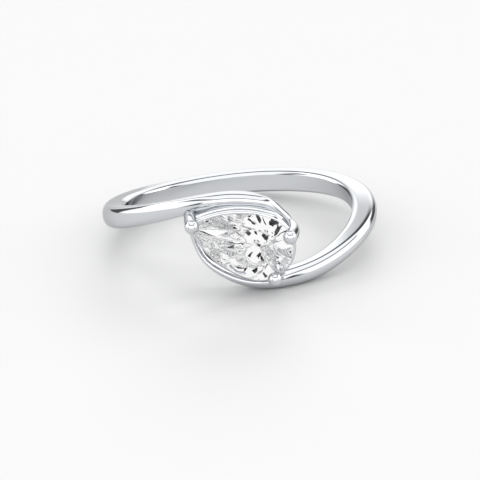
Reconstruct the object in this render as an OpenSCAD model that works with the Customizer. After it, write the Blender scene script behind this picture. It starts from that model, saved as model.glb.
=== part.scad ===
// Ring with a pear cut stone held between the two ends of a narrow band.
// The band runs from the stone's point, below the stone, round the back of the finger and
// above the stone to its round end. Millimetres, +Z up, origin in the middle of the finger
// hole. The ring lies on its side as it rests by itself, with the stone to the front (-Y).

/* [Band] */
// Inside diameter, the finger size
finger_d = 16.9; // [16.7:0.1:17.1]
// Width along the finger at the back
band_w = 1.68; // [1.6:0.02:1.76]
// Thickness at the back
band_t = 1.82; // [1.76:0.02:1.88]

/* [Stone] */
// Length of the pear outline, round end to point
stone_len = 7.26; // [7.2:0.02:7.32]
// Width of the pear outline
stone_w = 4.54; // [4.5:0.02:4.58]
// Distance of the girdle from the middle of the finger
girdle_r = 11.2; // [11.1:0.05:11.3]
// Table length as a share of the outline
table_share = 0.58; // [0.54:0.01:0.6]
// Crown height as a share of the width
crown_share = 0.15; // [0.14:0.005:0.16]
// Pavilion depth as a share of the width
pavilion_share = 0.43; // [0.41:0.005:0.44]

/* [Setting] */
// Diameter of the round prong tips
bead_d = 0.88; // [0.84:0.02:0.92]
// Width of the gallery rail across its wire
rail_w = 0.34; // [0.3:0.02:0.36]
// Height of the gallery rail, outwards from the finger
rail_h = 0.5; // [0.46:0.02:0.52]
// Gap between the stone and the metal
seat_gap = 0.04; // [0.03:0.01:0.06]

/* [Rest] */
// Lift of the stone's side above level, in degrees
rest_pitch = 5.8; // [5:0.1:7]
// Drop of the left side below level, in degrees
rest_roll = 5.4; // [5:0.1:7]

/* [Hidden] */

finger_r = finger_d / 2;
path_r = finger_r + band_t / 2;

// The band's stations, from the end at the stone's point, below the stone, round the back and
// above the stone to the end at its round end.
// angle: degrees round the finger, from the front, to the right
// height: middle of the band along the finger, millimetres
// width, thick: shares of band_w and band_t
angle = 0;
height = 1;
width = 2;
thick = 3;
stations = [
    [-18.4,  2.30, 0.08, 0.90],
    [-18.5,  2.00, 0.24, 0.90],
    [-18.2,  0.90, 0.29, 0.88],
    [-14.6, -0.60, 0.30, 0.91],
    [ -8.7, -1.51, 0.37, 0.92],
    [ -0.3, -2.27, 0.44, 0.96],
    [  8.0, -2.63, 0.55, 0.94],
    [ 17.0, -2.70, 0.70, 0.88],
    [ 28.0, -2.66, 0.78, 0.84],
    [ 42.0, -2.31, 0.76, 0.87],
    [ 60.0, -1.62, 0.69, 0.95],
    [ 80.0, -0.98, 0.73, 0.98],
    [100.0, -0.48, 0.82, 0.99],
    [140.0, -0.10, 1.01, 1.01],
    [180.0,  0.02, 1.02, 1.03],
    [220.0,  0.28, 1.00, 1.03],
    [260.0,  0.92, 1.00, 1.01],
    [280.0,  1.32, 0.95, 0.98],
    [300.0,  1.90, 0.92, 0.91],
    [315.0,  2.41, 0.86, 0.85],
    [330.0,  2.94, 0.78, 0.81],
    [340.0,  3.24, 0.69, 0.81],
    [352.0,  3.50, 0.60, 0.87],
    [360.0,  3.48, 0.60, 0.91],
    [368.0,  3.25, 0.56, 0.95],
    [374.0,  2.83, 0.54, 0.98],
    [378.5,  2.05, 0.44, 1.00],
    [381.3,  1.40, 0.32, 0.99],
    [382.0,  1.10, 0.08, 0.98]
];
last = len(stations) - 1;

// Length of path between two drawn sections of the band
section_step = 0.8;

// Rounding of the finger wall's edges, outwards from the finger and along it, and the most
// of the band's width that one such rounding takes where the band is narrow
comfort_u = 0.5;
comfort_v = 0.6;
comfort_share = 0.36;
comfort_steps = 3;
// Depth of the band's domed outer face, and how full the dome is: 2 is an ellipse
dome_u = 0.58;
dome_fullness = 2.2;
dome_steps = 5;
// The band is drawn this far inside the finger wall, and the round hole trims it
trim_u = 0.12;
// Where the round finger wall starts and ends, in the same degrees as the stations, which is
// in the upper arm and far from both of the band's ends
wall_seam = 244;

// The stone lies with its round end's middle here, in the ring's own upright frame
stone_x = 1.42;
stone_z = 0.3;
// Slope of the pear's long axis, point up and to the left
pear_slope = 25.3;
// Main facets round the crown, and as many round the pavilion
mains = 8;
// How far in the star facets begin, and how far down the lower half facets reach
star_share = 0.52;
lower_half_share = 0.76;
girdle_h = 0.13;
// The table shrinks towards this place on the long axis
table_mid = -0.9;

crown_h = crown_share * stone_w;
pavilion_h = pavilion_share * stone_w;
// The sides are arcs that meet the round end smoothly and each other at the point. A run is
// a length along the outline from the middle of the round end.
point_x = stone_len - stone_w / 2;
side_r = (point_x * point_x + stone_w * stone_w / 4) / stone_w;
side_angle = asin(point_x / side_r);
round_run = PI * stone_w / 4;
half_run = round_run + side_r * side_angle * PI / 180;

// The rail's middle, below the girdle and outside the stone's outline
rail_depth = 0.36;
rail_out = -0.06;
rail_parts = 56;
rail_sides = 10;

// Each prong bends from its root in the band to the bead over the stone's edge. run: its
// place on the outline, as a share of the half outline. bead, bend and root are three columns
// each: out from that place, along the outline, and below the girdle. root_rad and bend_rad:
// the prong's radius there.
run = 0;
bead = 1;
bend = 4;
root = 7;
root_rad = 10;
bend_rad = 11;
prongs = [
    [ 1.00,  -0.08, -0.17, -0.42,  0.07, -0.17, 0.60,   0.17, -0.19, 1.9,  0.45, 0.45],
    [ 0.18,  -0.01,  0.08, -0.42,  0.62, -0.03, 1.25,  -0.25,  0.70, 2.6,  0.26, 0.50],
    [-0.20,   0.00,  0.06, -0.42,  0.00,  0.38, 0.95,   0.80,  0.07, 1.9,  0.32, 0.46]
];
prong_rings = 8;
prong_sides = 12;
// The prong's end as a share of the bead's radius
neck_share = 0.95;

white_gold = "gainsboro";
clear_stone = "aliceblue";

// The band's centre line as if its cylinder were unrolled
function unrolled(row) = [row[angle] * PI / 180 * path_r, row[height]];
function run_between(i) = norm(unrolled(stations[i + 1]) - unrolled(stations[i]));
function slope_at(i) =
    i == 0 ? (stations[1] - stations[0]) / run_between(0) :
    i == last ? (stations[last] - stations[last - 1]) / run_between(last - 1) :
    (stations[i + 1] - stations[i - 1]) / (run_between(i - 1) + run_between(i));
function blend(i, t) =
    stations[i] * (2 * t ^ 3 - 3 * t ^ 2 + 1)
    + slope_at(i) * run_between(i) * (t ^ 3 - 2 * t ^ 2 + t)
    + stations[i + 1] * (3 * t ^ 2 - 2 * t ^ 3)
    + slope_at(i + 1) * run_between(i) * (t ^ 3 - t ^ 2);
function parts_between(i) = max(2, ceil(run_between(i) / section_step));

// A quarter of a rounded corner: n is 2 for an ellipse, more for a fuller curve
function bulge(x, n) = sign(x) * abs(x) ^ (2 / n);
function corner(mid, ru, rv, from, steps, n) = [
    for (k = [0 : steps])
        let (a = from + 90 * k / steps)
        [mid[0] + ru * bulge(cos(a), n), mid[1] + rv * bulge(sin(a), n)]
];

// Section of the band, [outwards from the finger, along the finger], counterclockwise
function band_section(w, t) =
    let (
        cv = min(comfort_v, comfort_share * w),
        low = corner([comfort_u, cv - w / 2], comfort_u + trim_u, cv, 180, comfort_steps, 2),
        front = corner([t - dome_u, 0], dome_u, w / 2, -90, dome_steps, dome_fullness),
        top = corner([t - dome_u, 0], dome_u, w / 2, 0, dome_steps, dome_fullness),
        high = corner([comfort_u, w / 2 - cv], comfort_u + trim_u, cv, 90, comfort_steps, 2)
    )
    concat(low, front, [for (k = [1 : dome_steps]) top[k]], high);

// Wraps a section round the finger, square to the band's own run
function wrap(row, heading, section) = [
    for (p = section)
        let (
            s = unrolled(row)[0] - heading[1] * p[1],
            z = row[height] + heading[0] * p[1],
            a = s / path_r * 180 / PI,
            r = finger_r + p[0]
        )
        [r * sin(a), -r * cos(a), z]
];

// Joins rings of points into a closed solid
module skin(rings, closed = false) {
    count = len(rings);
    size = len(rings[0]);
    joints = closed ? count : count - 1;
    points = [for (ring = rings) each ring];
    walls = [
        for (i = [0 : joints - 1], j = [0 : size - 1])
            let (a = i * size, b = (i + 1) % count * size, k = (j + 1) % size)
            each [[a + j, b + k, b + j], [a + j, a + k, b + k]]
    ];
    caps = closed ? [] : [
        [for (j = [size - 1 : -1 : 0]) j],
        [for (j = [0 : size - 1]) (count - 1) * size + j]
    ];
    polyhedron(points, concat(walls, caps), convexity = 8);
}

module band() {
    rows = [
        for (i = [0 : last - 1])
            let (parts = parts_between(i))
            each [for (k = [0 : parts - 1]) blend(i, k / parts)],
        stations[last]
    ];
    end = len(rows) - 1;
    skin([
        for (i = [0 : end])
            let (
                run = unrolled(rows[min(i + 1, end)]) - unrolled(rows[max(i - 1, 0)]),
                section = band_section(rows[i][width] * band_w, rows[i][thick] * band_t)
            )
            wrap(rows[i], run / norm(run), section)
    ]);
}

module finger_hole() {
    rotate([0, 0, wall_seam - 90])
        cylinder(h = 4 * stone_w, r = finger_r, center = true, $fn = 180);
}

// A point of the pear outline, by its run from the middle of the round end, and the
// direction that faces outwards there. The round end is a half circle about the origin.
function pear_turn(run) =
    abs(run) < round_run ? run / (stone_w / 2) * 180 / PI :
    sign(run) * (90 + (abs(run) - round_run) / side_r * 180 / PI);
function pear_out(run) = [cos(pear_turn(run)), sin(pear_turn(run))];
function pear_at(run) =
    abs(run) < round_run ? stone_w / 2 * pear_out(run) :
    [0, sign(run) * (stone_w / 2 - side_r)] + side_r * pear_out(run);

// Where two lines cross, each given by a point and a direction
function cross2(a, b) = a[0] * b[1] - a[1] * b[0];
function meet(p, d, q, e) = p + d * cross2(q - p, e) / cross2(d, e);

// The stone, larger by gap on every side. Main facets stand at the middle of the round
// end, at the point and three times on each side, and every facet is flat.
module cut_stone(gap = 0) {
    point = mains / 2;
    main_step = half_run / point;
    main_run = [for (i = [0 : mains - 1]) main_step * (i < point ? i : i - mains)];
    main_out = [for (i = [0 : mains - 1]) i == point ? [-1, 0] : pear_out(main_run[i])];
    edge = [for (i = [0 : mains - 1]) pear_at(main_run[i]) + main_out[i] * gap];
    half_edge = [
        for (r = main_run)
            let (half = r + main_step / 2)
            pear_at(half) + pear_out(half) * gap
    ];
    table = [for (p = edge) [table_mid, 0] + (p - [table_mid, 0]) * table_share];
    along = [for (d = main_out) [-d[1], d[0]]];
    star = [
        for (i = [0 : mains - 1])
            let (k = (i + 1) % mains)
            meet(edge[i] + (table[i] - edge[i]) * star_share, along[i],
                edge[k] + (table[k] - edge[k]) * star_share, along[k])
    ];
    lower_half = [
        for (i = [0 : mains - 1])
            let (k = (i + 1) % mains)
            meet(edge[i] * (1 - lower_half_share), along[i], edge[k] * (1 - lower_half_share), along[k])
    ];
    rim = girdle_h / 2 + gap;
    top = rim + crown_h;
    depth = rim + pavilion_h;
    function lift(points, z) = [for (p = points) [p[0], p[1], z]];
    points = concat(
        lift(edge, -rim), lift(half_edge, -rim), lift(edge, rim), lift(half_edge, rim),
        lift(star, rim + crown_h * star_share), lift(table, top),
        lift(lower_half, -rim - pavilion_h * lower_half_share), [[0, 0, -depth]]
    );
    low = 0;
    low_half = mains;
    high = 2 * mains;
    high_half = 3 * mains;
    stars = 4 * mains;
    tables = 5 * mains;
    lowers = 6 * mains;
    culet = 7 * mains;
    facets = [
        for (i = [0 : mains - 1])
            let (k = (i + 1) % mains, b = (i + mains - 1) % mains)
            each [
                [high + i, stars + b, tables + i, stars + i],
                [tables + i, tables + k, stars + i],
                [high + i, stars + i, high_half + i],
                [high_half + i, stars + i, high + k],
                [low + i, high + i, high_half + i, low_half + i],
                [low_half + i, high_half + i, high + k, low + k],
                [low + i, low_half + i, lowers + i],
                [low_half + i, low + k, lowers + i],
                [low + i, lowers + i, culet, lowers + b]
            ]
    ];
    table_facet = [for (i = [mains - 1 : -1 : 0]) tables + i];
    polyhedron(points, concat(facets, [table_facet]), convexity = 2);
}

// Carries the stone's frame to the front of the ring: x along the pear, z outwards
module at_stone() {
    translate([stone_x, -girdle_r, stone_z])
        rotate([90, 0, 0])
            rotate([0, 0, -pear_slope])
                children();
}

module gallery_rail() {
    skin([
        for (i = [0 : rail_parts - 1])
            let (
                start = half_run * (2 * (i + 0.5) / rail_parts - 1),
                edge = pear_at(start),
                out = pear_out(start)
            )
            [
                for (j = [0 : rail_sides - 1])
                    let (a = 360 * j / rail_sides, p = edge + out * (rail_out + rail_w / 2 * cos(a)))
                    [p[0], p[1], -rail_depth + rail_h / 2 * sin(a)]
            ]
    ], closed = true);
}

// A bent post with a round bead on its end
module prong(row) {
    tip = row[run] == 1;
    start = row[run] * half_run;
    edge = tip ? [-point_x, 0] : pear_at(start);
    out = tip ? [-1, 0] : pear_out(start);
    side = [-out[1], out[0]];
    function place(column) =
        let (p = edge + out * row[column] + side * row[column + 1])
        [p[0], p[1], -row[column + 2]];
    root_3d = place(root);
    bend_3d = place(bend);
    bead_3d = place(bead);
    rings = [
        for (i = [0 : prong_rings])
            let (
                t = i / prong_rings,
                a = (1 - t) ^ 2,
                b = 2 * t * (1 - t),
                c = t ^ 2,
                mid = root_3d * a + bend_3d * b + bead_3d * c,
                axis = (bend_3d - root_3d) * (1 - t) + (bead_3d - bend_3d) * t,
                right = cross(axis, [0, 1, 0]) / norm(cross(axis, [0, 1, 0])),
                up = cross(right, axis / norm(axis)),
                r = row[root_rad] * a + row[bend_rad] * b + neck_share * bead_d / 2 * c
            )
            [
                for (j = [0 : prong_sides - 1])
                    let (turn = 360 * j / prong_sides)
                    mid + r * (right * cos(turn) + up * sin(turn))
            ]
    ];
    skin(rings);
    translate(bead_3d)
        sphere(d = bead_d, $fn = 32);
}

// Turns the ring from upright in its own frame to the way it lies on a table
module at_rest() {
    rotate([-rest_pitch, 0, 0])
        rotate([0, -rest_roll, 0])
            children();
}

module ring_setting() {
    color(white_gold)
        at_rest()
            union() {
                difference() {
                    band();
                    finger_hole();
                }
                at_stone()
                    difference() {
                        union() {
                            gallery_rail();
                            for (row = prongs)
                                prong(row);
                        }
                        cut_stone(gap = seat_gap);
                    }
            }
}

module pear_stone() {
    color(clear_stone)
        at_rest()
            at_stone()
                cut_stone();
}

ring_setting();
pear_stone();
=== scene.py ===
# Builds a pear diamond bypass ring in white gold, lying on its side in a plain pale studio.
import math

import bmesh
import bpy
import numpy as np
from mathutils import Matrix, Vector


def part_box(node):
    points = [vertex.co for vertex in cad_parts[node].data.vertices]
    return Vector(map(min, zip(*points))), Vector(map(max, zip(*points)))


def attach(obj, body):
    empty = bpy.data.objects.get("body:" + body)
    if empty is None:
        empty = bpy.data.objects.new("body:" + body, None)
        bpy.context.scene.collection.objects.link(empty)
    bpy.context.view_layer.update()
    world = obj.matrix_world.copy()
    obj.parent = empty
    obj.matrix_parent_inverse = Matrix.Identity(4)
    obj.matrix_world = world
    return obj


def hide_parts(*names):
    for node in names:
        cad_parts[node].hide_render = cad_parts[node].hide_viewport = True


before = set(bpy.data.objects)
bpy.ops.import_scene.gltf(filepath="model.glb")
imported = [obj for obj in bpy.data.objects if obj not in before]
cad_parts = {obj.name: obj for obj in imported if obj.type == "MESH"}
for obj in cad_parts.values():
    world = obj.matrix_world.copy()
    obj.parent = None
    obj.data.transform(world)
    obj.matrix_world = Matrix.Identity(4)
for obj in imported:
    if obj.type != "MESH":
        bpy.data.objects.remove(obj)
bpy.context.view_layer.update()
print("frame loaded:", ", ".join(sorted(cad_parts)))

# The ring's own measures, in millimetres and degrees. They repeat the named values of the
# solid part
ring = {
    "fingerRadius": 8.45,
    "bandWidth": 1.68,       # along the finger, at the back
    "bandThickness": 1.82,   # outwards, at the back
    "creaseAngle": 22,       # edges of the metal that turn less are shaded soft
    "restPitch": 5.8,        # lift of the stone's side where the ring lies
    "restRoll": 5.4,         # drop of the left side where the ring lies
    "stoneX": 1.42,          # middle of the stone's round end: to the right, up and out
    "stoneZ": 0.3,
    "girdleRadius": 11.2,
    "pearSlope": 25.3,       # fall of the stone towards its round end
}
toMetres = 0.001
sameSpot = 1e-5              # mm: corners closer than this are one
pathRadius = ring["fingerRadius"] + ring["bandThickness"] / 2

# Turns ring millimetres into the frame's metres, with the ring lying as it rests
layDown = (
    Matrix.Scale(toMetres, 4)
    @ Matrix.Rotation(math.radians(-ring["restPitch"]), 4, "X")
    @ Matrix.Rotation(math.radians(-ring["restRoll"]), 4, "Y")
)
# Carries the stone's own frame to the front of the ring: x along the pear, z outwards
ontoStone = (
    Matrix.Translation((ring["stoneX"], -ring["girdleRadius"], ring["stoneZ"]))
    @ Matrix.Rotation(math.radians(90), 4, "X")
    @ Matrix.Rotation(math.radians(-ring["pearSlope"]), 4, "Z")
)


def addNode(tree, kind, settings=None, links=None):
    # one node: settings are its properties, links its inputs, each a value or what feeds it
    node = tree.nodes.new(kind)
    for key, value in (settings or {}).items():
        setattr(node, key, value)
    for key, source in (links or {}).items():
        if isinstance(source, bpy.types.Node):
            source = source.outputs[0]
        if isinstance(source, bpy.types.NodeSocket):
            tree.links.new(source, node.inputs[key])
        else:
            node.inputs[key].default_value = source
    return node


def linearColour(hexColour):
    # an sRGB hex colour as the linear values that shaders take
    parts = [int(hexColour[i : i + 2], 16) / 255 for i in (1, 3, 5)]
    return [p / 12.92 if p <= 0.04045 else ((p + 0.055) / 1.055) ** 2.4 for p in parts] + [1.0]


def newMaterial(name):
    material = bpy.data.materials.new(name)
    material.use_nodes = True
    material.node_tree.nodes.clear()
    return material


def addObject(name, data):
    made = bpy.data.objects.new(name, data)
    bpy.context.scene.collection.objects.link(made)
    return made


def newObject(name, vertices, edges=(), faces=()):
    mesh = bpy.data.meshes.new(name)
    mesh.from_pydata([tuple(v) for v in vertices], list(edges), list(faces))
    return addObject(name, mesh)


def discard(*objects):
    for unwanted in objects:
        bpy.data.objects.remove(unwanted)


def newTree(name, inputs):
    # a geometry tree with a mesh in, a mesh out and named inputs, each of a given kind
    tree = bpy.data.node_groups.new(name, "GeometryNodeTree")
    tree.interface.new_socket("Geometry", in_out="INPUT", socket_type="NodeSocketGeometry")
    tree.interface.new_socket("Geometry", in_out="OUTPUT", socket_type="NodeSocketGeometry")
    for label, kind in inputs.items():
        tree.interface.new_socket(label, in_out="INPUT", socket_type="NodeSocket" + kind)
    return tree, addNode(tree, "NodeGroupInput")


def endTree(tree, given, shape):
    # every tree ends in real geometry in its metal
    real = addNode(tree, "GeometryNodeRealizeInstances", links={"Geometry": shape})
    dressed = addNode(tree, "GeometryNodeSetMaterial",
                      links={"Geometry": real, "Material": given.outputs["Metal"]})
    addNode(tree, "NodeGroupOutput", links={"Geometry": dressed})
    return tree


def plainMesh(host, modifier):
    # what a modifier makes of its host, as a mesh of its own; the modifier goes
    graph = bpy.context.evaluated_depsgraph_get()
    mesh = bpy.data.meshes.new_from_object(host.evaluated_get(graph))
    host.modifiers.remove(modifier)
    return mesh


def grow(name, host, tree, values):
    # runs a tree on its host and gives back what comes out as a new piece
    modifier = host.modifiers.new(tree.name, "NODES")
    modifier.node_group = tree
    for socket in tree.interface.items_tree:
        if socket.in_out == "INPUT" and socket.name in values:
            modifier[socket.identifier] = values[socket.name]
    mesh = plainMesh(host, modifier)
    mesh.name = name
    return addObject(name, mesh)


def combine(target, tool, operation):
    # one exact boolean, kept in the target's own mesh
    modifier = target.modifiers.new(operation, "BOOLEAN")
    modifier.operation = operation
    modifier.solver = "EXACT"
    modifier.object = tool
    target.data = plainMesh(target, modifier)


def outwardFaces(mesh):
    # turns the faces outwards, after close vertices are merged
    work = bmesh.new()
    work.from_mesh(mesh)
    bmesh.ops.remove_doubles(work, verts=work.verts, dist=sameSpot)
    bmesh.ops.recalc_face_normals(work, faces=work.faces)
    if work.calc_volume(signed=True) < 0:
        bmesh.ops.reverse_faces(work, faces=work.faces)
    work.to_mesh(mesh)
    work.free()


def placeRound(aside, up, distance):
    # a place round the ring that faces it: degrees to the right of straight behind it, degrees
    # up and metres away
    aside, up = math.radians(aside), math.radians(up)
    towards = Vector((math.sin(aside) * math.cos(up), math.cos(aside) * math.cos(up), math.sin(up)))
    turn = towards.to_track_quat("Z", "Y").to_matrix().to_4x4()
    return Matrix.Translation(towards * distance) @ turn


# Camera: the photograph's viewing angle, from in front of the stone
photoCamera = {
    "azimuth": 0.45,       # degrees to the right of the stone's side
    "elevation": 21.07,
    "distance": 0.12,
    "tilt": 1.7,           # degrees that the picture leans
    "fieldOfView": 17.13,
    "aimDown": 1.006,      # degrees, so that the ring sits above the middle of the picture
    "nearest": 0.005,      # metres between which the camera sees
    "farthest": 5,
}


def setCamera(view):
    data = bpy.data.cameras.new("photoCamera")
    data.angle = math.radians(view["fieldOfView"])
    data.clip_start = view["nearest"]
    data.clip_end = view["farthest"]
    camera = addObject("photoCamera", data)
    place = placeRound(180 - view["azimuth"], view["elevation"], view["distance"])
    lean = Matrix.Rotation(math.radians(-view["tilt"]), 4, "Z")
    nod = Matrix.Rotation(math.radians(-view["aimDown"]), 4, "X")
    camera.matrix_world = place @ lean @ nod
    bpy.context.scene.camera = camera


setCamera(photoCamera)
print("camera placed")

# Studio: a pale floor under soft boxes, one above and the rest all round. The dark gaps between
# them are what polished metal shows as thin lines
studio = {
    "floorSize": 3.0,        # metres
    "floorColour": "#D2D2D2",
    "skyColour": "#FFFFFF",
    "skyStrength": 0.12,
    "boxDistance": 0.6,      # metres
    # each box: degrees to the right of straight behind, and up; degrees that it looks wide, and
    # high; its light; and the share of its width and height over which it fades at the edge
    "softBoxes": [
        ("topBox", 0, 88, 72, 78, 1.35, 0.14),
        ("backBox", 0, 15, 66, 48, 1.7, 0.32),
        ("rightBox", 92, 25, 84, 54, 1.5, 0.12),
        ("leftBox", -92, 25, 84, 54, 1.5, 0.12),
        ("backRightBox", 44, 38, 30, 30, 1.7, 0.2),
        ("backLeftBox", -44, 38, 30, 30, 1.7, 0.2),
        ("frontBox", 180, 24, 84, 48, 1.8, 0.12),
    ],
    # a small lamp, low behind the ring, which lays its shadow towards the viewer
    "lampLight": 1.05,
    "lampWidth": 26,         # degrees
    "lampAside": 3,
    "lampUp": 26,
    # what the stone's facets flash: bright cards all round it, with some grey and a few dark ones
    "cards": 3.4,            # more is smaller cards
    "cardShift": 1.7,        # another value deals other cards
    "darkCards": 0.2,        # share of the cards that are dark
    "greyCards": 0.42,       # share that is dark or greyer than the rest
    "greyLight": 0.6,        # light of the greyest card
    "cardLight": 0.97,       # light of the bright ones
    "bounces": 48,
}


def buildFloor(plan):
    lowest = min(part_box(node)[0].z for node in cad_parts)
    half = plan["floorSize"] / 2
    corners = [(x * half, y * half, lowest) for x, y in ((-1, -1), (1, -1), (1, 1), (-1, 1))]
    floor = newObject("studioFloor", corners, faces=[(0, 1, 2, 3)])
    paper = newMaterial("matt backdrop paper")
    tree = paper.node_tree
    # Uncoated paper: even and dull, so it takes soft shadows and shows no shine
    shader = addNode(tree, "ShaderNodeBsdfDiffuse",
                     links={"Color": linearColour(plan["floorColour"])})
    addNode(tree, "ShaderNodeOutputMaterial", links={"Surface": shader})
    floor.data.materials.append(paper)
    floor.visible_transmission = False


def hangSky(plan):
    # a dim sky all round, and the cards, which only light through the stone comes from
    world = bpy.data.worlds.new("studioSky")
    world.use_nodes = True
    tree = world.node_tree
    tree.nodes.clear()
    bpy.context.scene.world = world
    path = addNode(tree, "ShaderNodeLightPath")
    around = addNode(tree, "ShaderNodeTexCoord")
    turned = addNode(tree, "ShaderNodeMapping", links={
        "Vector": around.outputs["Generated"], "Location": (plan["cardShift"], 0, 0),
    })
    cards = addNode(tree, "ShaderNodeTexVoronoi", links={"Vector": turned, "Scale": plan["cards"]})
    draw = addNode(tree, "ShaderNodeSeparateColor", links={0: cards.outputs["Color"]})
    shade = addNode(tree, "ShaderNodeMapRange", links={
        "Value": draw, "From Min": plan["darkCards"], "From Max": plan["greyCards"],
        "To Min": plan["greyLight"], "To Max": plan["cardLight"],
    })
    isLit = addNode(tree, "ShaderNodeMath", {"operation": "GREATER_THAN"},
                    {0: draw, 1: plan["darkCards"]})
    flash = addNode(tree, "ShaderNodeMath", {"operation": "MULTIPLY"}, {0: shade, 1: isLit})
    strength = addNode(tree, "ShaderNodeMix", {"data_type": "FLOAT"}, {
        "Factor": path.outputs["Is Transmission Ray"], "A": plan["skyStrength"], "B": flash,
    })
    sky = addNode(tree, "ShaderNodeBackground",
                  links={"Color": linearColour(plan["skyColour"]), "Strength": strength})
    addNode(tree, "ShaderNodeOutputWorld", links={"Surface": sky})


def hangLamp(name, kind, place):
    # no lamp is seen through the stone, which has its cards for that
    lamp = addObject(name, bpy.data.lights.new(name, kind))
    lamp.matrix_world = place
    lamp.visible_transmission = False
    return lamp


def fadeEdges(data, share):
    # white cloth that dims towards the box's edges: across it, a place runs from 0 to 1
    data.use_nodes = True
    tree = data.node_tree
    tree.nodes.clear()
    place = addNode(tree, "ShaderNodeNewGeometry")
    spot = addNode(tree, "ShaderNodeSeparateXYZ", links={0: place.outputs["Parametric"]})
    edges = []
    for axis in ("X", "Y"):
        off = addNode(tree, "ShaderNodeMath", {"operation": "SUBTRACT"},
                      {0: spot.outputs[axis], 1: 0.5})
        size = addNode(tree, "ShaderNodeMath", {"operation": "ABSOLUTE"}, {0: off})
        edges.append(addNode(tree, "ShaderNodeMapRange", {"interpolation_type": "SMOOTHSTEP"}, {
            "Value": size, "From Min": 0.5 - share, "From Max": 0.5, "To Min": 1.0, "To Max": 0.0,
        }))
    both = addNode(tree, "ShaderNodeMath", {"operation": "MULTIPLY"}, {0: edges[0], 1: edges[1]})
    glow = addNode(tree, "ShaderNodeEmission", links={"Strength": both})
    addNode(tree, "ShaderNodeOutputLight", links={"Surface": glow})


def setStudio(plan):
    buildFloor(plan)
    hangSky(plan)
    distance = plan["boxDistance"]
    for name, aside, up, wide, high, light, fade in plan["softBoxes"]:
        box = hangLamp(name, "AREA", placeRound(aside, up, distance)).data
        box.shape = "RECTANGLE"
        box.size = 2 * distance * math.tan(math.radians(wide / 2))
        box.size_y = 2 * distance * math.tan(math.radians(high / 2))
        # a lamp's watts spread over its area and the half sphere in front of it
        box.energy = light * math.pi * box.size * box.size_y
        fadeEdges(box, fade)
    small = hangLamp("backLamp", "SUN", placeRound(plan["lampAside"], plan["lampUp"], 0))
    small.data.energy = plan["lampLight"]
    small.data.angle = math.radians(plan["lampWidth"])
    small.visible_glossy = False
    scene = bpy.context.scene
    scene.view_settings.view_transform = "Standard"
    # light goes round many times inside the stone before it leaves
    for kind in ("max_bounces", "glossy_bounces", "transmission_bounces"):
        setattr(scene.cycles, kind, plan["bounces"])


setStudio(studio)
print("studio lit")

# Metal: how far hand polishing falls short of a perfect mirror, in millimetres
gold = {
    "colour": "#D2D4D7",
    "edgeColour": "#D8D8D8",  # of the shine where the metal turns away: a thin grey outline
    "patchSize": 0.6,         # softer and brighter patches that the felt wheel leaves
    "patchDetail": 2.0,
    "patchLow": 0.3,          # nearly all of the pattern lies between these
    "patchHigh": 0.7,
    "roughest": 0.055,
    "smoothest": 0.02,
    # the wheel's own lines are a few microns apart: drawn far wider here, so that they show at all
    "lineSpacing": 0.08,
    "lineLength": 12,         # in spacings, along the finger
    "lineDepth": 0.0004,
    "lineDetail": 3.0,
}


def whiteGold(finish):
    # Rhodium-plated white gold, cast and mirror polished: it gives back the room around it as
    # clean bright and grey bands, a touch cooler than silver, with the faintest lines in them
    material = newMaterial("rhodium-plated white gold")
    tree = material.node_tree
    place = addNode(tree, "ShaderNodeTexCoord")
    patches = addNode(tree, "ShaderNodeTexNoise", links={
        "Vector": place.outputs["Object"], "Scale": 1 / (finish["patchSize"] * toMetres),
        "Detail": finish["patchDetail"],
    })
    roughness = addNode(tree, "ShaderNodeMapRange", links={
        "Value": patches, "From Min": finish["patchLow"], "From Max": finish["patchHigh"],
        "To Min": finish["smoothest"], "To Max": finish["roughest"],
    })
    drawn = addNode(tree, "ShaderNodeMapping", links={
        "Vector": place.outputs["Object"], "Scale": (1, 1, 1 / finish["lineLength"]),
    })
    lines = addNode(tree, "ShaderNodeTexNoise", links={
        "Vector": drawn, "Scale": 1 / (finish["lineSpacing"] * toMetres),
        "Detail": finish["lineDetail"],
    })
    relief = addNode(tree, "ShaderNodeBump", links={
        "Strength": 1.0, "Distance": finish["lineDepth"] * toMetres, "Height": lines,
    })
    shader = addNode(tree, "ShaderNodeBsdfPrincipled", links={
        "Base Color": linearColour(finish["colour"]),
        "Specular Tint": linearColour(finish["edgeColour"]),
        "Metallic": 1.0, "Roughness": roughness, "Normal": relief,
    })
    addNode(tree, "ShaderNodeOutputMaterial", links={"Surface": shader})
    return material


# Stone's finish: polished facets, and a girdle left as the grinding wheel shaped it
gem = {
    "colour": "#FFFFFF",
    "index": 2.42,
    "frontShine": "#747474",  # dims what the facets mirror, so that the dark ones behind show
    "girdleRoughness": 0.32,
    "grainSize": 0.04,        # mm, and so is the depth
    "grainDepth": 0.002,
    "grainDetail": 2.0,
}


def diamond(finish):
    # Colourless diamond, cut and polished: every facet is a small mirror and a window at once,
    # and the bruted girdle, where the attribute frost is 1, is frosted like ground glass
    material = newMaterial("polished diamond")
    tree = material.node_tree
    frost = addNode(tree, "ShaderNodeAttribute", {"attribute_name": "frost"})
    roughness = addNode(tree, "ShaderNodeMath", {"operation": "MULTIPLY"},
                        {0: frost.outputs["Fac"], 1: finish["girdleRoughness"]})
    place = addNode(tree, "ShaderNodeTexCoord")
    grain = addNode(tree, "ShaderNodeTexNoise", links={
        "Vector": place.outputs["Object"], "Scale": 1 / (finish["grainSize"] * toMetres),
        "Detail": finish["grainDetail"],
    })
    relief = addNode(tree, "ShaderNodeBump", links={
        "Strength": frost.outputs["Fac"], "Distance": finish["grainDepth"] * toMetres,
        "Height": grain,
    })
    shader = addNode(tree, "ShaderNodeBsdfPrincipled", links={
        "Base Color": linearColour(finish["colour"]), "Roughness": roughness,
        "IOR": finish["index"], "Transmission Weight": 1.0,
        "Specular Tint": linearColour(finish["frontShine"]), "Normal": relief,
    })
    addNode(tree, "ShaderNodeOutputMaterial", links={"Surface": shader})
    return material


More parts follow.
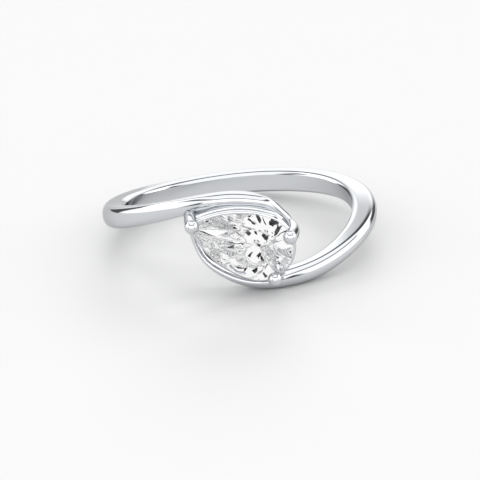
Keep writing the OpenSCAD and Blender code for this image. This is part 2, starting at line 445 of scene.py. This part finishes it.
goldMaterial = whiteGold(gold)
diamondMaterial = diamond(gem)
print("materials ready")

# Band: one narrow strip wrapped round the finger, from the stone's point, below the stone,
# round the back and above the stone to its round end
band = {
    # degrees round the finger, height along it, then shares of the band's width and thickness
    "stations": [
        (-18.4, 2.30, 0.08, 0.90), (-18.5, 2.00, 0.24, 0.90), (-18.2, 0.90, 0.29, 0.88),
        (-14.6, -0.60, 0.30, 0.91), (-8.7, -1.51, 0.37, 0.92), (-0.3, -2.27, 0.44, 0.96),
        (8.0, -2.63, 0.55, 0.94), (17.0, -2.70, 0.70, 0.88), (28.0, -2.66, 0.78, 0.84),
        (42.0, -2.31, 0.76, 0.87), (60.0, -1.62, 0.69, 0.95), (80.0, -0.98, 0.73, 0.98),
        (100.0, -0.48, 0.82, 0.99), (140.0, -0.10, 1.01, 1.01), (180.0, 0.02, 1.02, 1.03),
        (220.0, 0.28, 1.00, 1.03), (260.0, 0.92, 1.00, 1.01), (280.0, 1.32, 0.95, 0.98),
        (300.0, 1.90, 0.92, 0.91), (315.0, 2.41, 0.86, 0.85), (330.0, 2.94, 0.78, 0.81),
        (340.0, 3.24, 0.69, 0.81), (352.0, 3.50, 0.60, 0.87), (360.0, 3.48, 0.60, 0.91),
        (368.0, 3.25, 0.56, 0.95), (374.0, 2.83, 0.54, 0.98), (378.5, 2.05, 0.44, 1.00),
        (381.3, 1.40, 0.32, 0.99), (382.0, 1.10, 0.08, 0.98),
    ],
    "rowStep": 0.14,        # mm between drawn sections
    "wallRoundOut": 0.5,    # rounding of the finger wall's edges, outwards
    "wallRoundAlong": 0.6,  # and along the finger, or this share of the band's width if less
    "wallRoundShare": 0.36,
    "wallTrim": 0.12,       # how much of that rounding the finger hole cuts away
    "domeDepth": 0.58,      # fall of the rounded outside towards its sides
    "domeFullness": 2.2,    # 2 is an oval, and more is squarer
    "wallSteps": 9,
    "domeSteps": 26,
}


def splineRows(stations, step):
    # even rows along a spline that is smooth in slope and in curvature
    knots = np.array(stations, float)
    flat = np.column_stack([np.radians(knots[:, 0]) * pathRadius, knots[:, 1]])
    reach = np.concatenate([[0], np.cumsum(np.linalg.norm(np.diff(flat, axis=0), axis=1))])
    gaps = np.diff(reach)
    count = len(knots)
    system, right = np.eye(count), np.zeros_like(knots)
    for i in range(1, count - 1):
        system[i, i - 1 : i + 2] = gaps[i - 1], 2 * (gaps[i - 1] + gaps[i]), gaps[i]
        right[i] = 6 * (
            (knots[i + 1] - knots[i]) / gaps[i] - (knots[i] - knots[i - 1]) / gaps[i - 1]
        )
    bend = np.linalg.solve(system, right)
    runs = np.linspace(0, reach[-1], int(reach[-1] / step) + 1)
    i = np.clip(np.searchsorted(reach, runs, side="right") - 1, 0, count - 2)
    gap = gaps[i][:, None]
    t = (runs[:, None] - reach[i][:, None]) / gap
    return (
        knots[i] * (1 - t) + knots[i + 1] * t
        + gap**2 / 6 * (bend[i] * ((1 - t) ** 3 - (1 - t)) + bend[i + 1] * (t**3 - t))
    )


def sectionPoints(sizes):
    # one turn round the band's section. Each point's place is: out = fixed + share of thickness,
    # along = share of half the width + share of the wall's rounding
    rounding = sizes["wallRoundOut"]
    deep = rounding + sizes["wallTrim"]
    first = math.acos(rounding / deep)
    wallCorner = [
        (rounding - deep * math.cos(a), 1 - math.sin(a))
        for a in np.linspace(first, math.pi / 2, sizes["wallSteps"] + 1)
    ]
    points = [(out, 0, -1, roundShare) for out, roundShare in wallCorner]
    power = 2 / sizes["domeFullness"]
    for a in np.linspace(-math.pi / 2, math.pi / 2, 2 * sizes["domeSteps"] + 1):
        out, along = max(0, math.cos(a)) ** power, math.copysign(abs(math.sin(a)) ** power, a)
        points.append((sizes["domeDepth"] * (out - 1), 1, along, 0))
    points += [(out, 0, 1, -roundShare) for out, roundShare in reversed(wallCorner)]
    return points


def sweepTree():
    # sweeps a section along a flat path and wraps both round the finger
    tree, given = newTree("wrapped band", {
        "Section": "Object", "Finger radius": "Float", "Path radius": "Float",
        "Wall rounding": "Float", "Rounding share": "Float", "Metal": "Material",
    })
    path = addNode(tree, "GeometryNodeMeshToCurve", links={"Mesh": given.outputs["Geometry"]})
    kept = addNode(tree, "GeometryNodeCaptureAttribute")
    kept.capture_items.new("VECTOR", "Place")
    kept.capture_items.new("VECTOR", "Heading")
    tree.links.new(path.outputs[0], kept.inputs["Geometry"])
    tree.links.new(addNode(tree, "GeometryNodeInputPosition").outputs[0], kept.inputs["Place"])
    tree.links.new(addNode(tree, "GeometryNodeInputTangent").outputs[0], kept.inputs["Heading"])
    section = addNode(tree, "GeometryNodeObjectInfo", links={"Object": given.outputs["Section"]})
    outline = addNode(tree, "GeometryNodeMeshToCurve", links={"Mesh": section.outputs["Geometry"]})
    swept = addNode(tree, "GeometryNodeCurveToMesh", links={
        "Curve": kept.outputs["Geometry"], "Profile Curve": outline, "Fill Caps": True,
    })

    place = addNode(tree, "ShaderNodeSeparateXYZ", links={0: kept.outputs["Place"]})
    heading = addNode(tree, "ShaderNodeSeparateXYZ", links={0: kept.outputs["Heading"]})
    known = {name: given.outputs[name] for name in
             ("Finger radius", "Path radius", "Wall rounding", "Rounding share")}
    known |= {"pathX": place.outputs["X"], "pathY": place.outputs["Y"],
              "headX": heading.outputs["X"], "headY": heading.outputs["Y"]}
    for name in ("width", "thickness", "outFixed", "outShare", "alongShare", "alongRound"):
        known[name] = addNode(tree, "GeometryNodeInputNamedAttribute", {"data_type": "FLOAT"},
                              {"Name": name})
    # each sum: its name, its operation and what it takes, by name or as a number
    for name, operation, *takes in (
        ("widest", "MULTIPLY", "width", "Rounding share"),
        ("rounding", "MINIMUM", "Wall rounding", "widest"),
        ("rounded", "MULTIPLY", "alongRound", "rounding"),
        ("halfAlong", "MULTIPLY", "alongShare", 0.5),
        ("along", "MULTIPLY_ADD", "halfAlong", "width", "rounded"),
        ("out", "MULTIPLY_ADD", "outShare", "thickness", "outFixed"),
        ("aside", "MULTIPLY", "headY", "along"),
        ("run", "SUBTRACT", "pathX", "aside"),
        ("height", "MULTIPLY_ADD", "headX", "along", "pathY"),
        ("turn", "DIVIDE", "run", "Path radius"),
        ("radius", "ADD", "Finger radius", "out"),
        ("sine", "SINE", "turn"),
        ("cosine", "COSINE", "turn"),
        ("x", "MULTIPLY", "radius", "sine"),
        ("back", "MULTIPLY", "radius", "cosine"),
        ("y", "MULTIPLY", "back", -1.0),
    ):
        known[name] = addNode(tree, "ShaderNodeMath", {"operation": operation},
                              {i: known.get(take, take) for i, take in enumerate(takes)})
    wrapped = addNode(tree, "ShaderNodeCombineXYZ",
                      links={"X": known["x"], "Y": known["y"], "Z": known["height"]})
    moved = addNode(tree, "GeometryNodeSetPosition", links={"Geometry": swept, "Position": wrapped})
    return endTree(tree, given, moved)


def setAttribute(mesh, name, values):
    attribute = mesh.attributes.new(name, "FLOAT", "POINT")
    attribute.data.foreach_set("value", np.array(values, np.float32))


def buildBand(sizes):
    rows = splineRows(sizes["stations"], sizes["rowStep"])
    path = newObject("bandPath", np.column_stack([
        np.radians(rows[:, 0]) * pathRadius, rows[:, 1], np.zeros(len(rows)),
    ]), edges=[(i, i + 1) for i in range(len(rows) - 1)])
    setAttribute(path.data, "width", rows[:, 2] * ring["bandWidth"])
    setAttribute(path.data, "thickness", rows[:, 3] * ring["bandThickness"])
    points = sectionPoints(sizes)
    count = len(points)
    turns = np.linspace(0, 2 * math.pi, count, endpoint=False)
    section = newObject("bandSection", [(math.cos(a), math.sin(a), 0) for a in turns],
                        edges=[(i, (i + 1) % count) for i in range(count)])
    for column, name in enumerate(("outFixed", "outShare", "alongShare", "alongRound")):
        setAttribute(section.data, name, [point[column] for point in points])
    made = grow("band", path, sweepTree(), {
        "Section": section, "Finger radius": ring["fingerRadius"], "Path radius": pathRadius,
        "Wall rounding": sizes["wallRoundAlong"], "Rounding share": sizes["wallRoundShare"],
        "Metal": goldMaterial,
    })
    discard(path, section)
    outwardFaces(made.data)
    return made


bandPiece = buildBand(band)
print("band swept:", len(bandPiece.data.polygons), "faces")

# Stone: a pear brilliant, ground facet by facet from a smooth pear-shaped blank
stone = {
    "length": 7.26,
    "width": 4.54,
    "mains": 12,            # main facets round the crown, and as many round the pavilion
    "tableShare": 0.58,
    "tableMiddle": -0.9,    # the table shrinks towards this place on the long axis
    "crownShare": 0.15,     # height of the crown, and depth of the pavilion, of the width
    "pavilionShare": 0.43,
    "girdleHeight": 0.13,
    "starShare": 0.52,      # of the way from the girdle to the table
    "lowerHalfShare": 0.7,  # of the way from the girdle to the lowest point
    "rimRowShare": 0.3,     # a row of small steep facets under the girdle
    "rimRowLean": 0.72,
    "outlineSteps": 144,
    "seatGap": 0.04,
    "blankTop": 2.0,        # the blank's ends, clear of every facet
    "blankBottom": -3.0,
    "cornerMerge": 1e-4,    # corners closer than this become one
    "girdleTilt": 0.05,     # a face whose normal leans up or down less than this is the girdle
    "creaseAngle": 20,      # degrees: edges that turn less are shaded soft
}
halfWidth = stone["width"] / 2
pointX = stone["length"] - halfWidth
sideRadius = (pointX**2 + halfWidth**2) / stone["width"]
roundRun = math.pi * halfWidth / 2
halfRun = roundRun + sideRadius * math.asin(pointX / sideRadius)
pointOut = Vector((-1, 0))  # outwards at the stone's point, where its two sides meet


def pearOut(run):
    # the direction that faces outwards at a run along the outline from the middle of the round end
    if abs(run) < roundRun:
        turn = run / halfWidth
    else:
        turn = math.copysign(math.pi / 2 + (abs(run) - roundRun) / sideRadius, run)
    return Vector((math.cos(turn), math.sin(turn)))


def pearAt(run):
    if abs(run) < roundRun:
        return pearOut(run) * halfWidth
    return Vector((0, math.copysign(1, run) * (halfWidth - sideRadius))) + pearOut(run) * sideRadius


def meet(p, d, q, e):
    # where the line through p along d crosses the line through q along e
    return p + d * ((q - p).cross(e) / d.cross(e))


def lift(spot, height):
    return Vector((spot.x, spot.y, height))


def facetPlanes(sizes, gap):
    # three points on each facet's plane, worked out from the mains round the outline
    count = sizes["mains"]
    step = 2 * halfRun / count
    runs = [step * (i if i < count / 2 else i - count) for i in range(count)]
    outs = [pointOut if i == count // 2 else pearOut(run) for i, run in enumerate(runs)]
    halfOuts = [pearOut(run + step / 2) for run in runs]
    along = [Vector((-out.y, out.x)) for out in outs]
    edge = [pearAt(run) + out * gap for run, out in zip(runs, outs)]
    halfEdge = [pearAt(run + step / 2) + out * gap for run, out in zip(runs, halfOuts)]
    middle = Vector((sizes["tableMiddle"], 0))
    table = [middle + (corner - middle) * sizes["tableShare"] for corner in edge]
    crown, pavilion = sizes["crownShare"] * sizes["width"], sizes["pavilionShare"] * sizes["width"]
    starShare, lowerShare = sizes["starShare"], sizes["lowerHalfShare"]
    rimShare, rimLean = sizes["rimRowShare"], sizes["rimRowLean"]
    rim = sizes["girdleHeight"] / 2 + gap
    culet = Vector((0, 0, -rim - pavilion))
    planes = [[lift(corner, rim + crown) for corner in table[:3]]]
    for i in range(count):
        k = (i + 1) % count
        star = meet(edge[i] + (table[i] - edge[i]) * starShare, along[i],
                    edge[k] + (table[k] - edge[k]) * starShare, along[k])
        starTop = lift(star, rim + crown * starShare)
        lower = meet(edge[i] * (1 - lowerShare), along[i], edge[k] * (1 - lowerShare), along[k])
        lowerEnd = lift(lower, -rim - pavilion * lowerShare)
        side = lift(along[i], 0)
        top, halfTop, nextTop = (lift(spot, rim) for spot in (edge[i], halfEdge[i], edge[k]))
        low, halfLow, nextLow = (lift(spot, -rim) for spot in (edge[i], halfEdge[i], edge[k]))
        tableHere, tableNext = (lift(spot, rim + crown) for spot in (table[i], table[k]))
        planes += [
            [top, top + side, tableHere],
            [tableHere, tableNext, starTop],
            [top, starTop, halfTop],
            [halfTop, starTop, nextTop],
            [low, low + side, culet],
            [low, halfLow, lowerEnd],
            [halfLow, nextLow, lowerEnd],
        ]
        # the small facets under the girdle fall more steeply than those below them
        for corner, out in ((edge[i], outs[i]), (halfEdge[i], halfOuts[i])):
            start = lift(corner, -rim)
            fallen = lift(corner * (1 - rimShare * rimLean), -rim)
            planes.append([start, start + Vector((-out.y, out.x, 0)),
                           fallen - Vector((0, 0, pavilion * rimShare))])
    return planes


def cutStone(name, sizes, gap=0.0):
    # grinds each facet off a smooth blank, as a cutter's wheel does
    count = sizes["outlineSteps"]
    runs = [halfRun * (2 * i / count - 1) for i in range(count)]
    outs = [pointOut if i == 0 else pearOut(run) for i, run in enumerate(runs)]
    outline = [pearAt(run) + out * gap for run, out in zip(runs, outs)]
    work = bmesh.new()
    bottom, top = (
        [work.verts.new(lift(spot, sizes[end])) for spot in outline]
        for end in ("blankBottom", "blankTop")
    )
    for i in range(count):
        k = (i + 1) % count
        work.faces.new((bottom[i], bottom[k], top[k], top[i]))
    work.faces.new(list(reversed(bottom)))
    work.faces.new(top)
    for a, b, c in facetPlanes(sizes, gap):
        normal = (b - a).cross(c - a).normalized()
        if normal.dot(a) < 0:   # a facet faces away from the stone's middle
            normal.negate()
        cut = bmesh.ops.bisect_plane(
            work, geom=work.verts[:] + work.edges[:] + work.faces[:], dist=sameSpot,
            plane_co=a, plane_no=normal, clear_outer=True,
        )
        rim = [e for e in cut["geom_cut"] if isinstance(e, bmesh.types.BMEdge) and e.is_boundary]
        if rim:
            bmesh.ops.contextual_create(work, geom=rim)
    bmesh.ops.remove_doubles(work, verts=work.verts, dist=sizes["cornerMerge"])
    bmesh.ops.dissolve_degenerate(work, edges=work.edges, dist=sizes["cornerMerge"])
    bmesh.ops.recalc_face_normals(work, faces=work.faces)
    made = newObject(name, [])
    work.to_mesh(made.data)
    work.free()
    made.data.set_sharp_from_angle(angle=math.radians(sizes["creaseAngle"]))
    # the girdle alone is frosted
    upright = [abs(face.normal.z) < sizes["girdleTilt"] for face in made.data.polygons]
    frost = made.data.attributes.new("frost", "FLOAT", "FACE")
    frost.data.foreach_set("value", np.array(upright, np.float32))
    return made


stonePiece = cutStone("pearStone", stone)
seatCutter = cutStone("seatCutter", stone, stone["seatGap"])
print("stone cut:", len(stonePiece.data.polygons), "faces")

# Gallery rail: a thin wire in the pear's outline, just below the girdle
rail = {
    "width": 0.44,
    "height": 0.5,
    "depth": 0.36,          # of the wire's middle, below the girdle's
    "outwards": -0.01,      # of the wire's middle, from the outline
    "pathSteps": 160,
    "sides": 28,
    # the solder that fills the corner behind the rail, under the upper arm
    "fillWidth": 0.34,
    "fillOutwards": 0.14,
    "fillHeight": 1.5,
    "fillDepth": 1.5,
    "fillFrom": 0.985,      # shares of half the outline, from the middle of the round end
    "fillTo": 0.30,
    "fillSteps": 40,
}


def railTree():
    # sweeps an upright oval along a level path
    tree, given = newTree("oval wire", {
        "Width": "Float", "Height": "Float", "Sides": "Int", "Metal": "Material",
    })
    path = addNode(tree, "GeometryNodeMeshToCurve", links={"Mesh": given.outputs["Geometry"]})
    upright = addNode(tree, "GeometryNodeSetCurveNormal", {"mode": "Z_UP"}, {"Curve": path})
    # a circle one wide, which its width and height then stretch
    circle = addNode(tree, "GeometryNodeCurvePrimitiveCircle",
                     links={"Resolution": given.outputs["Sides"], "Radius": 0.5})
    size = addNode(tree, "ShaderNodeCombineXYZ", links={
        "X": given.outputs["Width"], "Y": given.outputs["Height"], "Z": 1.0,
    })
    oval = addNode(tree, "GeometryNodeTransform", links={"Geometry": circle, "Scale": size})
    swept = addNode(tree, "GeometryNodeCurveToMesh",
                    links={"Curve": upright, "Profile Curve": oval, "Fill Caps": True})
    return endTree(tree, given, swept)


def buildRail(sizes):
    count, few = sizes["pathSteps"], sizes["fillSteps"]
    start, end = sizes["fillFrom"], sizes["fillTo"]
    whole = [halfRun * (2 * (i + 0.5) / count - 1) for i in range(count)]
    part = [halfRun * (start + (end - start) * i / few) for i in range(few + 1)]
    tree = railTree()
    made = []
    for name, runs, closed, outwards, depth, width, height in (
        ("galleryRail", whole, True,
         sizes["outwards"], sizes["depth"], sizes["width"], sizes["height"]),
        ("solderFill", part, False,
         sizes["fillOutwards"], sizes["fillDepth"], sizes["fillWidth"], sizes["fillHeight"]),
    ):
        places = [pearAt(run) + pearOut(run) * outwards for run in runs]
        links = [(i, (i + 1) % len(runs)) for i in range(len(runs) if closed else len(runs) - 1)]
        path = newObject("railPath", [(p.x, p.y, -depth) for p in places], edges=links)
        piece = grow(name, path, tree, {
            "Width": width, "Height": height, "Sides": sizes["sides"], "Metal": goldMaterial,
        })
        discard(path)
        outwardFaces(piece.data)
        made.append(piece)
    return made


railPiece, fillPiece = buildRail(rail)
print("gallery rail swept:", [round(x, 3) for x in railPiece.dimensions])

# Prongs: bent posts with round tips
prongs = {
    "beadDiameter": 0.98,
    "neckShare": 0.95,      # of the bead's diameter, where the post meets it
    "rings": 40,
    "sides": 40,
    # run is a share of half the outline, from the middle of the round end. Places are out from
    # the outline there, along it and below the girdle
    "posts": [
        {"name": "pointProng", "run": 1.0, "rootRadius": 0.45, "bendRadius": 0.45,
         "root": (0.17, -0.19, 1.9), "bend": (0.07, -0.17, 0.60), "bead": (-0.06, -0.08, -0.42)},
        {"name": "upperProng", "run": 0.18, "rootRadius": 0.26, "bendRadius": 0.50,
         "root": (-0.25, 0.70, 2.6), "bend": (0.62, -0.03, 1.25), "bead": (-0.02, 0.03, -0.42)},
        {"name": "lowerProng", "run": -0.20, "rootRadius": 0.32, "bendRadius": 0.46,
         "root": (0.80, 0.07, 1.9), "bend": (0.00, 0.38, 0.95), "bead": (0.05, 0.06, -0.42)},
    ],
}


def prongTree():
    # a bent round post whose radius changes along it, and a bead on its end
    tree, given = newTree("beaded prong", {
        "Root": "Vector", "Bend": "Vector", "Bead": "Vector",
        "Root radius": "Float", "Bend radius": "Float", "Neck radius": "Float",
        "Bead radius": "Float", "Rings": "Int", "Sides": "Int", "Metal": "Material",
    })
    line = addNode(tree, "GeometryNodeCurveQuadraticBezier", links={
        "Resolution": given.outputs["Rings"], "Start": given.outputs["Root"],
        "Middle": given.outputs["Bend"], "End": given.outputs["Bead"],
    })
    known = {name: given.outputs[name] for name in
             ("Rings", "Root radius", "Bend radius", "Neck radius")}
    known["index"] = addNode(tree, "GeometryNodeInputIndex")
    # the radius follows the same bend from root to neck as the post does
    for name, operation, *takes in (
        ("share", "DIVIDE", "index", "Rings"),
        ("rest", "SUBTRACT", 1.0, "share"),
        ("restSquared", "MULTIPLY", "rest", "rest"),
        ("atRoot", "MULTIPLY", "restSquared", "Root radius"),
        ("both", "MULTIPLY", "rest", "share"),
        ("double", "MULTIPLY", "both", 2.0),
        ("toBend", "MULTIPLY_ADD", "double", "Bend radius", "atRoot"),
        ("shareSquared", "MULTIPLY", "share", "share"),
        ("radius", "MULTIPLY_ADD", "shareSquared", "Neck radius", "toBend"),
    ):
        known[name] = addNode(tree, "ShaderNodeMath", {"operation": operation},
                              {i: known.get(take, take) for i, take in enumerate(takes)})
    profile = addNode(tree, "GeometryNodeCurvePrimitiveCircle",
                      links={"Resolution": given.outputs["Sides"], "Radius": 1.0})
    post = addNode(tree, "GeometryNodeCurveToMesh", links={
        "Curve": line, "Profile Curve": profile, "Scale": known["radius"], "Fill Caps": True,
    })
    ball = addNode(tree, "GeometryNodeMeshUVSphere", links={
        "Segments": given.outputs["Sides"], "Rings": given.outputs["Rings"],
        "Radius": given.outputs["Bead radius"],
    })
    tip = addNode(tree, "GeometryNodeTransform",
                  links={"Geometry": ball, "Translation": given.outputs["Bead"]})
    joined = addNode(tree, "GeometryNodeMeshBoolean", {"operation": "UNION", "solver": "EXACT"})
    tree.links.new(post.outputs[0], joined.inputs["Mesh 2"])
    tree.links.new(tip.outputs[0], joined.inputs["Mesh 2"])
    return endTree(tree, given, joined)


def buildProngs(sizes):
    tree = prongTree()
    bead = sizes["beadDiameter"]
    made = []
    for post in sizes["posts"]:
        run = post["run"] * halfRun
        atPoint = post["run"] == 1
        edge = Vector((-pointX, 0)) if atPoint else pearAt(run)
        out = pointOut if atPoint else pearOut(run)
        side = Vector((-out.y, out.x))
        places = {}
        for label in ("root", "bend", "bead"):
            outwards, along, below = post[label]
            spot = edge + out * outwards + side * along
            places[label.capitalize()] = (spot.x, spot.y, -below)
        seed = newObject("prongSeed", [(0, 0, 0)])
        piece = grow(post["name"], seed, tree, {
            **places, "Root radius": post["rootRadius"], "Bend radius": post["bendRadius"],
            "Neck radius": sizes["neckShare"] * bead / 2, "Bead radius": bead / 2,
            "Rings": sizes["rings"], "Sides": sizes["sides"], "Metal": goldMaterial,
        })
        discard(seed)
        outwardFaces(piece.data)
        made.append(piece)
    return made


prongPieces = buildProngs(prongs)
print("prongs bent:", ", ".join(piece.name for piece in prongPieces))


def solderRing():
    # joins the pieces into the one soldered body, with the stone's seat cut into the head
    head = railPiece
    for piece in (fillPiece, *prongPieces):
        combine(head, piece, "UNION")
    combine(head, seatCutter, "DIFFERENCE")
    head.data.transform(ontoStone)
    whole = bandPiece
    combine(whole, head, "UNION")
    discard(head, seatCutter, fillPiece, *prongPieces)
    whole.name = "polishedRing"
    whole.data.name = "polishedRing"
    whole.data.transform(layDown)
    whole.data.materials.clear()
    whole.data.materials.append(goldMaterial)
    whole.data.set_sharp_from_angle(angle=math.radians(ring["creaseAngle"]))
    return whole


ringPiece = solderRing()
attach(ringPiece, "root")
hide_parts("ring_setting")
print("ring soldered:", len(ringPiece.data.polygons), "faces")

stonePiece.data.transform(layDown @ ontoStone)
stonePiece.data.materials.append(diamondMaterial)
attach(stonePiece, "root")
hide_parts("pear_stone")
print("stone set")
